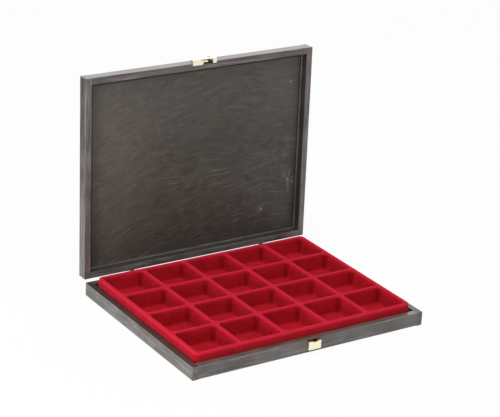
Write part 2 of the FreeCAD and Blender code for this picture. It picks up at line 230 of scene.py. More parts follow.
# Node helpers
class Nodes:
    """Nodes of one material or world."""

    def __init__(self, owner, output="OutputMaterial"):
        self.owner = owner
        owner.use_nodes = True
        self.tree = owner.node_tree
        self.tree.nodes.clear()
        self.output = self.add(output)

    def add(self, kind, **settings):
        node = self.tree.nodes.new("ShaderNode" + kind)
        for key, value in settings.items():
            setattr(node, key, value)
        return node

    def link(self, source, target):
        self.tree.links.new(source, target)

    def set_or_link(self, socket, given):
        if isinstance(given, (int, float)):
            socket.default_value = given
        elif isinstance(given, tuple):
            socket.default_value = (*given, 1.0)
        else:
            self.link(given, socket)

    def value(self, operation, a, b=None):
        node = self.add("Math", operation=operation)
        self.set_or_link(node.inputs[0], a)
        if b is not None:
            self.set_or_link(node.inputs[1], b)
        return node.outputs[0]

    def product(self, first, *others):
        for other in others:
            first = self.value("MULTIPLY", first, other)
        return first

    def plus(self, a, b):
        return self.value("ADD", a, b)

    def minus(self, a, b):
        return self.value("SUBTRACT", a, b)

    def length(self, a, b):
        """Length of the vector (a, b)."""
        return self.value("SQRT", self.plus(self.product(a, a), self.product(b, b)))

    def coordinates(self):
        """Place on the object at rest, in metres."""
        return self.add("TexCoord").outputs["Object"]

    def axes(self):
        split = self.add("SeparateXYZ")
        self.link(self.coordinates(), split.inputs[0])
        return split.outputs[X], split.outputs[Y], split.outputs[Z]

    def combined(self, x, y):
        node = self.add("CombineXYZ")
        self.set_or_link(node.inputs[X], x)
        self.set_or_link(node.inputs[Y], y)
        return node.outputs[0]

    def mapped(self, scale, rotation=(0, 0, 0), location=(0, 0, 0), vector=None):
        mapping = self.add("Mapping")
        mapping.inputs["Scale"].default_value = scale
        mapping.inputs["Rotation"].default_value = rotation
        mapping.inputs["Location"].default_value = location
        if vector is None:
            vector = self.coordinates()
        self.link(vector, mapping.inputs["Vector"])
        return mapping.outputs["Vector"]

    def distance(self, vector, point):
        node = self.add("VectorMath", operation="DISTANCE")
        self.link(vector, node.inputs[0])
        node.inputs[1].default_value = point
        return node.outputs["Value"]

    def noise(self, vector, scale, detail=2.0, roughness=0.5, distortion=0.0):
        node = self.add("TexNoise")
        node.inputs["Scale"].default_value = scale
        node.inputs["Detail"].default_value = detail
        node.inputs["Roughness"].default_value = roughness
        node.inputs["Distortion"].default_value = distortion
        self.link(vector, node.inputs["Vector"])
        return node.outputs["Fac"]

    def ramp(self, factor, stops):
        """Colour ramp of (position, colour or grey level) stops."""
        node = self.add("ValToRGB")
        elements = node.color_ramp.elements
        while len(elements) < len(stops):
            elements.new(0.5)
        for element, (position, color) in zip(elements, stops):
            if isinstance(color, (int, float)):
                color = (color, color, color)
            element.position = position
            element.color = (*color, 1.0)
        self.link(factor, node.inputs["Fac"])
        return node.outputs["Color"]

    def mix(self, factor, a, b):
        node = self.add("Mix", data_type="RGBA")
        for socket, given in ((0, factor), (MIX_A, a), (MIX_B, b)):
            self.set_or_link(node.inputs[socket], given)
        return node.outputs[MIX_RESULT]

    def spread(self, factor, low, high):
        node = self.add("MapRange")
        node.inputs["To Min"].default_value = low
        node.inputs["To Max"].default_value = high
        self.link(factor, node.inputs["Value"])
        return node.outputs["Result"]

    def fade(self, factor, start, end, low=0.0, high=1.0):
        """Smooth step from low at start to high at end, whichever of start and end is larger."""
        node = self.add("MapRange", interpolation_type="SMOOTHSTEP")
        for name, given in (("From Min", start), ("From Max", end), ("To Min", low), ("To Max", high)):
            node.inputs[name].default_value = given
        self.link(factor, node.inputs["Value"])
        return node.outputs["Result"]

    def bump(self, height, strength, distance):
        node = self.add("Bump")
        node.inputs["Strength"].default_value = strength
        node.inputs["Distance"].default_value = distance
        self.link(height, node.inputs["Height"])
        return node.outputs["Normal"]

    def seen_or_mirrored(self):
        """1 for what the camera sees directly, in a reflection or through glass."""
        path = self.add("LightPath")
        mirrored = self.value("MAXIMUM", path.outputs["Is Glossy Ray"], path.outputs["Is Transmission Ray"])
        return self.value("MAXIMUM", path.outputs["Is Camera Ray"], mirrored)

    def surface_mix(self, factor, a, b):
        node = self.add("MixShader")
        self.link(factor, node.inputs[0])
        self.link(a, node.inputs[1])
        self.link(b, node.inputs[2])
        self.link(node.outputs[0], self.output.inputs["Surface"])

    def principled(self, color, roughness, normal, **sockets):
        shader = self.add("BsdfPrincipled")
        self.link(color, shader.inputs["Base Color"])
        self.set_or_link(shader.inputs["Roughness"], roughness)
        self.link(normal, shader.inputs["Normal"])
        for name, value in sockets.items():
            shader.inputs[name.replace("_", " ")].default_value = value
        self.link(shader.outputs[0], self.output.inputs["Surface"])
        return self.owner


def new_material(name):
    return Nodes(bpy.data.materials.new(name))


# Inside the opened lid
def hinge_axis():
    low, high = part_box("hinge_1_pin")
    return Vector((0, (low[Y] + high[Y]) / 2, (low[Z] + high[Z]) / 2))


def lid_depth(n, y, z):
    """Distance behind the plane of the opened lid's rim, taken through the hinge pin."""
    pin = hinge_axis()
    leaned = n.product(n.minus(z, pin.z), math.tan(OPEN_LEAN))
    return n.minus(n.minus(y, pin.y), leaned)


def recess_margin():
    """Width of the panel's edge that lies in the rails."""
    low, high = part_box("lid_panel")
    return (high[X] - low[X] - RECESS_WIDTH) / 2


# The walls behind the lid's rim get painted shade
RECESS_START = 0.8 * MM
RECESS_FADE = 0.5 * MM
WALL_TOLERANCE = 0.6 * MM


def in_recess(n):
    x, y, z = n.axes()
    low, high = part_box("lid_panel")
    deep = n.fade(lid_depth(n, y, z), RECESS_START, RECESS_START + RECESS_FADE)
    inside_x = n.value("LESS_THAN", n.value("ABSOLUTE", x), RECESS_WIDTH / 2 + WALL_TOLERANCE)
    above = n.value("GREATER_THAN", z, low[Z] + recess_margin() - WALL_TOLERANCE)
    below = n.value("LESS_THAN", z, high[Z] - recess_margin() + WALL_TOLERANCE)
    return n.product(deep, inside_x, above, below)


# Stained wood of the rails, with its grain along one axis
GRAIN_STRETCH = 0.06
PORE_STRETCH = 0.03
SHIFT_SHARES = (1.0, 0.7, 0.4)
WOOD_GRAIN = dict(scale=420.0, detail=5.0, roughness=0.6, distortion=0.3)
WOOD_BANDS = dict(scale=120.0, detail=3.0, distortion=0.6)
WOOD_PORES = dict(scale=1400.0)
WOOD_BLOTCHES = dict(scale=30.0, detail=3.0, roughness=0.55)
WOOD_DARK = (0.018, 0.015, 0.012)
WOOD_MIDDLE = (0.047, 0.042, 0.037)
WOOD_PALE = (0.125, 0.107, 0.101)
GRAIN_STOPS = ((0.38, WOOD_DARK), (0.50, WOOD_MIDDLE), (0.62, WOOD_PALE))
BAND_COLOR = (0.034, 0.027, 0.022)
BAND_SHARE = ((0.40, 0.0), (0.60, 0.65))
PORE_COLOR = (0.014, 0.011, 0.010)
PORE_SHARE = ((0.30, 1.0), (0.42, 0.0))
BLOTCH_COLOR = (0.085, 0.077, 0.070)
BLOTCH_SHARE = ((0.40, 0.0), (0.62, 0.5))
RECESS_PAINTED_SHADE = (0.016, 0.012, 0.010)
RECESS_SHADE_STRENGTH = 0.88
RAIL_TOP_PAINTED_SHADE = (0.012, 0.010, 0.008)
RAIL_TOP_SHADE_STRENGTH = 0.8
TOP_EDGE = 0.3 * MM
GRAIN_HEIGHT = 0.6
PORE_HEIGHT = 0.4
WOOD_BUMP = dict(strength=0.25, distance=0.2 * MM)
WOOD_ROUGHNESS = (0.50, 0.36)
RAIL_COAT = 0.7


def stretched(axis, amount):
    scale = [1.0, 1.0, 1.0]
    scale[axis] = amount
    return tuple(scale)


def base_rail_top(n):
    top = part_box("base_left_rail")[1][Z]
    return n.fade(n.axes()[Z], top - TOP_EDGE, top - TOP_EDGE / 2)


def rail_wood(name, axis, painted_light_tone, shift, lean=0.0, recess_shade=False, shaded_top=False, coat=RAIL_COAT):
    n = new_material(name)

    def toned(color):
        return tuple(channel * painted_light_tone for channel in color)

    place = tuple(shift * share for share in SHIFT_SHARES)
    turned = n.mapped((1, 1, 1), rotation=(-lean, 0.0, 0.0), location=place)
    along_grain = n.mapped(stretched(axis, GRAIN_STRETCH), vector=turned)
    along_pores = n.mapped(stretched(axis, PORE_STRETCH), vector=turned)
    grain = n.noise(along_grain, **WOOD_GRAIN)
    bands = n.noise(along_grain, **WOOD_BANDS)
    pores = n.noise(along_pores, **WOOD_PORES)
    blotches = n.noise(turned, **WOOD_BLOTCHES)
    color = n.ramp(grain, [(stop, toned(shade)) for stop, shade in GRAIN_STOPS])
    color = n.mix(n.ramp(bands, BAND_SHARE), color, toned(BAND_COLOR))
    color = n.mix(n.ramp(pores, PORE_SHARE), color, toned(PORE_COLOR))
    color = n.mix(n.ramp(blotches, BLOTCH_SHARE), color, toned(BLOTCH_COLOR))
    # Painted shade on the walls behind the lid's rim
    if recess_shade:
        color = n.mix(n.product(in_recess(n), RECESS_SHADE_STRENGTH), color, RECESS_PAINTED_SHADE)
    # Painted shade on the tops of the base's side rails, beside the tray
    if shaded_top:
        color = n.mix(n.product(base_rail_top(n), RAIL_TOP_SHADE_STRENGTH), color, RAIL_TOP_PAINTED_SHADE)
    height = n.plus(n.product(grain, GRAIN_HEIGHT), n.product(pores, PORE_HEIGHT))
    return n.principled(color, n.spread(grain, *WOOD_ROUGHNESS), n.bump(height, **WOOD_BUMP),
                        Specular_IOR_Level=0.5, Coat_Weight=coat, Coat_Roughness=0.30)


# Veneer of the panels: growth rings cut flat, so that the short pores lie along wide arcs
RING_CENTRE_X = 75 * MM
RING_CENTRE_DEPTH = -150 * MM
RING_FLATTEN = 0.8
RING_DRIFT = 50 * MM
RING_DRIFT_NOISE = dict(scale=7.0)
RING_WANDER = 3 * MM
RING_WANDER_NOISE = dict(scale=60.0)

# Marks along the rings have a stretch along them and a shift across them
STREAKS_ALONG = dict(stretch=0.11, shift=0.0)
STREAKS = dict(scale=170.0, detail=6.0, roughness=0.62, distortion=0.7)
SPECKLES = dict(scale=105.0, detail=6.0, roughness=0.72, distortion=0.6)
SPECKLES_FROM = 110 * MM
SPECKLES_TO = 180 * MM
SPECKLE_SHARE = (0.35, 0.8)
VENEER_DARK = (0.028, 0.026, 0.020)
VENEER_MIDDLE = (0.053, 0.047, 0.039)
VENEER_PALE = (0.100, 0.090, 0.076)
MOTTLE_STOPS = ((0.36, VENEER_DARK), (0.50, VENEER_MIDDLE), (0.64, VENEER_PALE))
DARK_PORES_ALONG = dict(stretch=0.030, shift=1.9)
DARK_PORES = dict(scale=420.0, detail=3.0, roughness=0.6)
DARK_PORE = (0.018, 0.016, 0.013)
DARK_PORE_SHARE = ((0.34, 0.45), (0.44, 0.0))
DARK_PORE_DEPTH = 0.6
VENEER_BUMP = dict(strength=0.2, distance=0.2 * MM)
VENEER_ROUGHNESS = (0.55, 0.42)

# Broad tones of the veneer, by their place across and up the panel; the paler top and the darker bottom are
# painted light and shade
BROWN = (0.118, 0.104, 0.090)
BROWN_SHARE = 0.5
BROWN_FROM = -20 * MM
BROWN_TO = -120 * MM
RIGHT_PALE = (0.090, 0.082, 0.070)
RIGHT_SHARE = 0.40
RIGHT_FROM = 60 * MM
RIGHT_TO = 130 * MM
MIDDLE_RISE = 190 * MM
PATCHES = dict(scale=38.0, detail=5.0, roughness=0.7)
PATCH_BROWN = (0.084, 0.070, 0.060)
PATCH_SHARE = ((0.44, 0.0), (0.60, 0.5))
CLOUD = (0.036, 0.037, 0.028)
CLOUD_SHARE = 0.65
CLOUD_CENTRE = (35 * MM, 165 * MM, 0.0)
CLOUD_REACH = 105 * MM
HIGH_PAINTED_LIGHT = (0.115, 0.103, 0.090)
HIGH_LIGHT_SHARE = 0.25
HIGH_FROM = 140 * MM
HIGH_TO = 230 * MM
LOW_PAINTED_SHADE = (0.024, 0.024, 0.020)
LOW_SHADE_SHARE = (0.68, 0.40)
LOW_FROM = 155 * MM
LOW_TO = 20 * MM

# Pale pores, lines and flecks of the veneer
MARKED = dict(scale=13.0)
MARKED_SHARE = ((0.48, 0.0), (0.60, 1.0))
PALE_PORES_ALONG = dict(stretch=0.020, shift=0.7)
PALE_PORES = dict(scale=600.0)
PALE_PORE = (0.175, 0.158, 0.138)
PALE_PORE_SHARE = ((0.60, 0.0), (0.76, 1.0))
PALE_WHERE_MARKED = (0.06, 0.75)
LINES_ALONG = dict(stretch=0.011, shift=3.3)
LINES = dict(scale=560.0, detail=1.0)
PALE_LINE = (0.160, 0.142, 0.122)
LINE_SHARE = ((0.60, 0.0), (0.70, 0.5))
LINES_WHERE_MARKED = (1.0, 0.35)
LINES_FROM = 165 * MM
LINES_TO = 120 * MM
FLECKS = dict(scale=95.0, detail=5.0, roughness=0.75, distortion=1.5)
FLECK_STRETCH = (1.0, 1.0, 0.6)
FLECK_SHIFT = (0.4, 0.0, 0.0)
FLECK = (0.22, 0.205, 0.18)
FLECK_SHARE = ((0.66, 0.0), (0.76, 0.7))

# Knots, each with its place across, its place up and its rays' reach, and painted shade along the edges
KNOT = (0.26, 0.24, 0.21)
KNOT_EYE = 2.2 * MM
KNOT_EYE_FULL = 0.3 * KNOT_EYE
KNOT_RAYS = dict(scale=2.2, roughness=0.6)
KNOT_RAY_SHARE = ((0.52, 0.0), (0.66, 1.0))
KNOT_RAY_STRENGTH = 0.6
KNOT_VARIETY = 70
KNOTS = ((0.132, 0.092, 0.020), (0.130, 0.217, 0.011), (0.095, 0.0595, 0.010))
PANEL_EDGE_SHADE = (0.008, 0.007, 0.006)
PANEL_EDGE_SHADING = 0.9
LEFT_SHADE_WIDTH = 7.6 * MM
RIGHT_SHADE_WIDTH = 3.8 * MM
TOP_SHADE_WIDTH = 6.4 * MM
EDGE_SHADE_FADE = 1.6 * MM


def growth_rings(n, side, rise):
    """A function that gives coordinates along the growth rings."""
    px = n.product(n.minus(side, RING_CENTRE_X), RING_FLATTEN)
    pz = n.minus(rise, RING_CENTRE_DEPTH)
    drift = n.minus(n.noise(n.coordinates(), **RING_DRIFT_NOISE), NOISE_MIDDLE)
    wander = n.minus(n.noise(n.coordinates(), **RING_WANDER_NOISE), NOISE_MIDDLE)
    radius = n.plus(n.length(px, pz), n.product(drift, RING_DRIFT))
    radius = n.plus(radius, n.product(wander, RING_WANDER))
    angle = n.value("ARCTAN2", pz, px)

    def along(stretch, shift):
        return n.combined(n.plus(radius, shift), n.product(angle, stretch))

    return along


def broad_tones(n, color, brown, side, rise):
    color = n.mix(n.product(brown, BROWN_SHARE), color, BROWN)
    right = n.product(n.fade(side, RIGHT_FROM, RIGHT_TO), n.fade(rise, LOW_FROM, MIDDLE_RISE))
    color = n.mix(n.product(right, RIGHT_SHARE), color, RIGHT_PALE)
    color = n.mix(n.ramp(n.noise(n.coordinates(), **PATCHES), PATCH_SHARE), color, PATCH_BROWN)
    cloud = n.fade(n.distance(n.combined(side, rise), CLOUD_CENTRE), CLOUD_REACH, 0.0)
    color = n.mix(n.product(cloud, CLOUD_SHARE), color, CLOUD)
    # Paler towards the top: painted light
    color = n.mix(n.product(n.fade(rise, HIGH_FROM, HIGH_TO), HIGH_LIGHT_SHARE), color, HIGH_PAINTED_LIGHT)
    # Darker towards the bottom: painted shade
    low = n.product(n.fade(rise, LOW_FROM, LOW_TO), n.spread(brown, *LOW_SHADE_SHARE))
    return n.mix(low, color, LOW_PAINTED_SHADE)


def pale_marks(n, color, along, rise):
    """Pale pores, long lines low on the panel and small flecks."""
    marked = n.ramp(n.noise(n.coordinates(), **MARKED), MARKED_SHARE)
    pores = n.ramp(n.noise(along(**PALE_PORES_ALONG), **PALE_PORES), PALE_PORE_SHARE)
    color = n.mix(n.product(pores, n.spread(marked, *PALE_WHERE_MARKED)), color, PALE_PORE)
    lines = n.ramp(n.noise(along(**LINES_ALONG), **LINES), LINE_SHARE)
    lined = n.product(n.fade(rise, LINES_FROM, LINES_TO), n.spread(marked, *LINES_WHERE_MARKED))
    color = n.mix(n.product(lines, lined), color, PALE_LINE)
    flecks = n.noise(n.mapped(FLECK_STRETCH, location=FLECK_SHIFT), **FLECKS)
    return n.mix(n.ramp(flecks, FLECK_SHARE), color, FLECK)


def knot(n, side, rise, x, z, reach):
    """Small pale knot with a few short rays."""
    dx = n.minus(side, x)
    dz = n.minus(rise, z)
    away = n.length(dx, dz)
    around = n.combined(n.value("ARCTAN2", dz, dx), x * KNOT_VARIETY)
    rays = n.ramp(n.noise(around, **KNOT_RAYS), KNOT_RAY_SHARE)
    rays = n.product(rays, n.fade(away, reach, 0.0), KNOT_RAY_STRENGTH)
    return n.value("MAXIMUM", rays, n.fade(away, KNOT_EYE, KNOT_EYE_FULL))


def edge_shade(n, side, rise):
    """Painted shade along the left, right and top edges of the lid's veneer, where the rails shadow it."""
    half = RECESS_WIDTH / 2
    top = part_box("lid_panel")[1][Z] - recess_margin()
    left = n.fade(side, LEFT_SHADE_WIDTH - half, LEFT_SHADE_WIDTH - half - EDGE_SHADE_FADE)
    right = n.fade(side, half - RIGHT_SHADE_WIDTH, half - RIGHT_SHADE_WIDTH + EDGE_SHADE_FADE)
    high = n.fade(rise, top - TOP_SHADE_WIDTH, top - TOP_SHADE_WIDTH + EDGE_SHADE_FADE)
    return n.product(n.value("MAXIMUM", n.value("MAXIMUM", left, right), high), PANEL_EDGE_SHADING)


def inside_lid_marks(n, color):
    """Knots, and painted shade along the edges, on the lid panel's inner face only."""
    x, y, z = n.axes()
    inside = n.value("LESS_THAN", lid_depth(n, y, z), PANEL_MIDDLE)
    for knot_x, knot_z, reach in KNOTS:
        color = n.mix(n.product(knot(n, x, z, knot_x, knot_z, reach), inside), color, KNOT)
    return n.mix(n.product(edge_shade(n, x, z), inside), color, PANEL_EDGE_SHADE)


def panel_veneer(name, rise_axis):
    n = new_material(name)
    axes = n.axes()
    side = axes[X]
    rise = axes[rise_axis]
    along = growth_rings(n, side, rise)
    brown = n.fade(side, BROWN_FROM, BROWN_TO)
    speckled = n.product(brown, n.fade(rise, SPECKLES_FROM, SPECKLES_TO))
    streaks = n.noise(along(**STREAKS_ALONG), **STREAKS)
    mottle = n.mix(n.spread(speckled, *SPECKLE_SHARE), streaks, n.noise(n.coordinates(), **SPECKLES))
    color = n.ramp(mottle, MOTTLE_STOPS)
    color = broad_tones(n, color, brown, side, rise)
    dark = n.ramp(n.noise(along(**DARK_PORES_ALONG), **DARK_PORES), DARK_PORE_SHARE)
    color = n.mix(dark, color, DARK_PORE)
    color = pale_marks(n, color, along, rise)
    if rise_axis == Z:
        color = inside_lid_marks(n, color)
    height = n.minus(mottle, n.product(dark, DARK_PORE_DEPTH))
    return n.principled(color, n.spread(mottle, *VENEER_ROUGHNESS), n.bump(height, **VENEER_BUMP),
                        Specular_IOR_Level=0.4, Coat_Weight=0.08, Coat_Roughness=0.35)


# Bead round the inside of the lid
BEAD_STRETCH = (0.1, 1.0, 0.1)
BEAD_STREAKS = dict(scale=500.0, detail=3.0)
BEAD_STOPS = ((0.35, (0.034, 0.028, 0.024)), (0.65, (0.085, 0.074, 0.066)))
BEAD_BUMP = dict(strength=0.1, distance=0.1 * MM)
BEAD_ROUGHNESS = 0.4


def stained_bead():
    n = new_material("stained_bead")
    streaks = n.noise(n.mapped(BEAD_STRETCH), **BEAD_STREAKS)
    return n.principled(n.ramp(streaks, BEAD_STOPS), BEAD_ROUGHNESS, n.bump(streaks, **BEAD_BUMP),
                        Specular_IOR_Level=0.5)


# Red flock, with a painted highlight on the crests of the ribs, painted shade in the compartments'
# corners and a little painted shade on the skirt
FLOCK_DARK = (0.31, 0.005, 0.009)
FLOCK_MIDDLE = (0.45, 0.008, 0.016)
FLOCK_PALE = (0.62, 0.014, 0.028)
PILE = dict(scale=2600.0, roughness=0.6)
PILE_STOPS = ((0.30, FLOCK_DARK), (0.50, FLOCK_MIDDLE), (0.70, FLOCK_PALE))
PRESSED = dict(scale=120.0, detail=4.0, roughness=0.6)
PRESSED_COLOR = (0.33, 0.005, 0.010)
PRESSED_SHARE = ((0.40, 0.5), (0.58, 0.0))
BRUSHED = dict(scale=35.0, detail=3.0, distortion=0.6)
BRUSHED_STRETCH = (0.4, 1.0, 1.0)
BRUSHED_COLOR = (0.56, 0.012, 0.026)
BRUSHED_SHARE = ((0.46, 0.0), (0.62, 0.4))
PILE_HEIGHT = 0.6
PRESSED_HEIGHT = 0.4
FLOCK_BUMP = dict(strength=0.5, distance=0.3 * MM)
FLOCK_ROUGHNESS = 0.95
FLOCK_SHEEN = (1.0, 0.10, 0.20, 1.0)
FLOCK_CREST_HIGHLIGHT = (0.62, 0.015, 0.045)
FLOCK_CORNER_SHADE = (0.13, 0.001, 0.003)
FLOCK_SKIRT_SHADE = (0.20, 0.003, 0.006)
CREST_REACH = 4.0 * MM
CREST_FULL = 1.2 * MM
CREST_HIGHLIGHT_STRENGTH = 0.6
CORNER_REACH = 7.0 * MM
CORNER_FULL = 3.0 * MM
CORNER_SHADE_STRENGTH = 0.5
SKIRT_SHADE_STRENGTH = 0.28


def tray_places(n):
    """1 on the ribs' crests, in the compartments' corners and on the skirt."""
    low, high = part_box("coin_tray")
    axes = n.axes()
    crest = n.fade(axes[Z], high[Z] - CREST_REACH, high[Z] - CREST_FULL)
    below_crest = n.minus(1.0, crest)
    corner = below_crest
    among_cells = 1.0
    for axis, count, cell in ((X, COLUMNS, CELL_WIDTH), (Y, ROWS, CELL_LENGTH)):
        pitch = cell + RIB_WIDTH
        centre = (low[axis] + high[axis]) / 2
        from_edge = n.plus(n.minus(axes[axis], centre), count * pitch / 2)
        from_rib = n.value("PINGPONG", from_edge, pitch / 2)
        near = n.fade(from_rib, RIB_WIDTH / 2 + CORNER_REACH, RIB_WIDTH / 2 + CORNER_FULL)
        past_first = n.value("GREATER_THAN", from_edge, RIB_WIDTH / 2)
        before_last = n.value("LESS_THAN", from_edge, count * pitch - RIB_WIDTH / 2)
        corner = n.product(corner, near)
        among_cells = n.product(past_first, before_last, among_cells)
    skirt = n.product(below_crest, n.minus(1.0, among_cells))
    return crest, n.product(corner, among_cells), skirt


def red_flock():
    n = new_material("red_flock")
    pile = n.noise(n.coordinates(), **PILE)
    pressed = n.noise(n.coordinates(), **PRESSED)
    brushed = n.noise(n.mapped(BRUSHED_STRETCH), **BRUSHED)
    color = n.ramp(pile, PILE_STOPS)
    color = n.mix(n.ramp(pressed, PRESSED_SHARE), color, PRESSED_COLOR)
    color = n.mix(n.ramp(brushed, BRUSHED_SHARE), color, BRUSHED_COLOR)
    crest, corner, skirt = tray_places(n)
    # Painted shade in the compartments' corners
    color = n.mix(n.product(corner, CORNER_SHADE_STRENGTH), color, FLOCK_CORNER_SHADE)
    # Painted shade on the skirt
    color = n.mix(n.product(skirt, SKIRT_SHADE_STRENGTH), color, FLOCK_SKIRT_SHADE)
    # Painted highlight on the ribs' crests
    color = n.mix(n.product(crest, CREST_HIGHLIGHT_STRENGTH), color, FLOCK_CREST_HIGHLIGHT)
    height = n.plus(n.product(pile, PILE_HEIGHT), n.product(pressed, PRESSED_HEIGHT))
    return n.principled(color, FLOCK_ROUGHNESS, n.bump(height, **FLOCK_BUMP), Specular_IOR_Level=0.1,
                        Sheen_Weight=0.5, Sheen_Roughness=0.4, Sheen_Tint=FLOCK_SHEEN)


# Brass, with a painted dark reflection on the top edge of the catch
BRASS_DULL = (0.88, 0.85, 0.61)
BRASS_BRIGHT = (0.94, 0.92, 0.71)
BRASS_HAZE = dict(scale=300.0, detail=4.0, roughness=0.6)
BRASS_STOPS = ((0.3, BRASS_DULL), (0.7, BRASS_BRIGHT))
BRASS_ROUGHNESS = (0.08, 0.20)
RUBBED = dict(scale=2200.0)
RUBBED_STRETCH = (0.08, 1.0, 1.0)
RUBBED_ROUGHNESS = 0.05
BRASS_BUMP = dict(strength=0.08, distance=0.05 * MM)
CATCH_TOP_DARK_REFLECTION = (0.10, 0.09, 0.04)
DARK_REFLECTION_STRENGTH = 0.85
DARK_REFLECTION_START = 0.4 * MM
DARK_REFLECTION_FULL = 0.1 * MM
CATCH_TOLERANCE = 1.0 * MM


def on_catch_top(n):
    axes = n.axes()
    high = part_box("catch_box")[1]
    up = n.fade(axes[Z], high[Z] - DARK_REFLECTION_START, high[Z] - DARK_REFLECTION_FULL)
    in_front = n.value("LESS_THAN", axes[Y], high[Y] + CATCH_TOLERANCE)
    below = n.value("LESS_THAN", axes[Z], high[Z] + CATCH_TOLERANCE)
    return n.product(up, in_front, below)


def brass():
    n = new_material("polished_brass")
    haze = n.noise(n.coordinates(), **BRASS_HAZE)
    rubbed = n.noise(n.mapped(RUBBED_STRETCH), **RUBBED)
    # Painted dark reflection on the catch's top edge
    color = n.mix(n.product(on_catch_top(n), DARK_REFLECTION_STRENGTH), n.ramp(haze, BRASS_STOPS), CATCH_TOP_DARK_REFLECTION)
    rough = n.plus(n.spread(haze, *BRASS_ROUGHNESS), n.product(rubbed, RUBBED_ROUGHNESS))
    return n.principled(color, rough, n.bump(rubbed, **BRASS_BUMP), Metallic=1.0)


def soften_edges(obj):
    """Sheet metal has slightly rounded edges."""
    edge = obj.modifiers.new("soft_edges", "BEVEL")
    edge.width = METAL_EDGE
    edge.segments = 2
    edge.limit_method = "ANGLE"
    edge.angle_limit = METAL_EDGE_ANGLE
    edge.use_clamp_overlap = True


def dress_cad(metal):
    # The rails share one wood; their tones differ rail by rail as painted light and shade, each made
    # lighter or darker for how the light falls on it
    across = rail_wood("rail_wood_across", X, painted_light_tone=1.5, shift=0.31)
    deep = rail_wood("rail_wood_deep", Y, painted_light_tone=2.0, shift=2.05, shaded_top=True, coat=0.35)
    upright = rail_wood("lid_rail_wood_upright", Z, painted_light_tone=1.7, shift=1.27, lean=OPEN_LEAN,
                        recess_shade=True)
    wood = {
        "base_front_rail": across,
        "base_back_rail": across,
        "base_left_rail": deep,
        "base_right_rail": deep,
        "base_panel": panel_veneer("base_veneer", Y),
        "lid_front_rail": rail_wood("lid_rail_wood_front", X, painted_light_tone=1.5, shift=2.17, recess_shade=True),
        "lid_back_rail": rail_wood("lid_rail_wood_back", X, painted_light_tone=2.2, shift=2.71, recess_shade=True),
        "lid_left_rail": upright,
        "lid_right_rail": upright,
        "lid_panel": panel_veneer("lid_veneer", Z),
    }
    for name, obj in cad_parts.items():
        if name == "coin_tray":
            continue
        obj.data.materials.clear()
        obj.data.materials.append(wood.get(name, metal))
        if name not in wood:
            soften_edges(obj)


# Flocked tray, one pressed sheet with its compartments
def quarter_steps():
    return [math.radians(90.0 * step / ROUND_STEPS) for step in range(ROUND_STEPS + 1)]


def cell_profile(depth):
    """(inset from the compartment's top edge, height above it), from the floor to the rib's top."""
    profile = []
    for angle in quarter_steps():
        profile.append((CELL_DRAFT + FLOOR_ROUND * (1 - math.sin(angle)),
                        -depth + FLOOR_ROUND * (1 - math.cos(angle))))
    straight = depth - FLOOR_ROUND - RIB_ROUND
    for step in range(1, WALL_STEPS):
        z = -depth + FLOOR_ROUND + straight * step / WALL_STEPS
        profile.append((CELL_DRAFT * (-z - RIB_ROUND) / straight, z))
    for angle in quarter_steps():
        profile.append((-RIB_ROUND * (1 - math.cos(angle)), -RIB_ROUND * (1 - math.sin(angle))))
    return profile


def loop_of(bm, points, z):
    return [bm.verts.new((x, y, z)) for x, y in points]


def add_cell(bm, cx, cy, top, floor, half_pitch_x, half_pitch_y):
    """One compartment with its share of the ribs, a sharp rectangular tile seen from above."""
    loops = []
    for inset, z in cell_profile(top - floor):
        radius = CELL_CORNER - inset
        if inset > 0:
            radius = max(radius, SMALLEST_CORNER)
        shape = rounded_rectangle(CELL_WIDTH / 2 - inset, CELL_LENGTH / 2 - inset, radius)
        loops.append(loop_of(bm, [(cx + x, cy + y) for x, y in shape], top + z))
    shape = rounded_rectangle(CELL_WIDTH / 2, CELL_LENGTH / 2, CELL_CORNER)
    edge = onto_rectangle(shape, CELL_WIDTH / 2 - CELL_CORNER, CELL_LENGTH / 2 - CELL_CORNER,
                          half_pitch_x, half_pitch_y)
    loops.append(loop_of(bm, [(cx + x, cy + y) for x, y in edge], top))
    for a, b in zip(loops, loops[1:]):
        bridge(bm, a, b)
    floor_loops = [loops[0]]
    for step in range(1, FLOOR_STEPS):
        share = 1 - step / FLOOR_STEPS
        points = [(cx + (v.co.x - cx) * share, cy + (v.co.y - cy) * share) for v in loops[0]]
        floor_loops.append(loop_of(bm, points, floor))
    for a, b in zip(floor_loops, floor_loops[1:]):
        bridge(bm, b, a)
    bm.faces.new(floor_loops[-1])


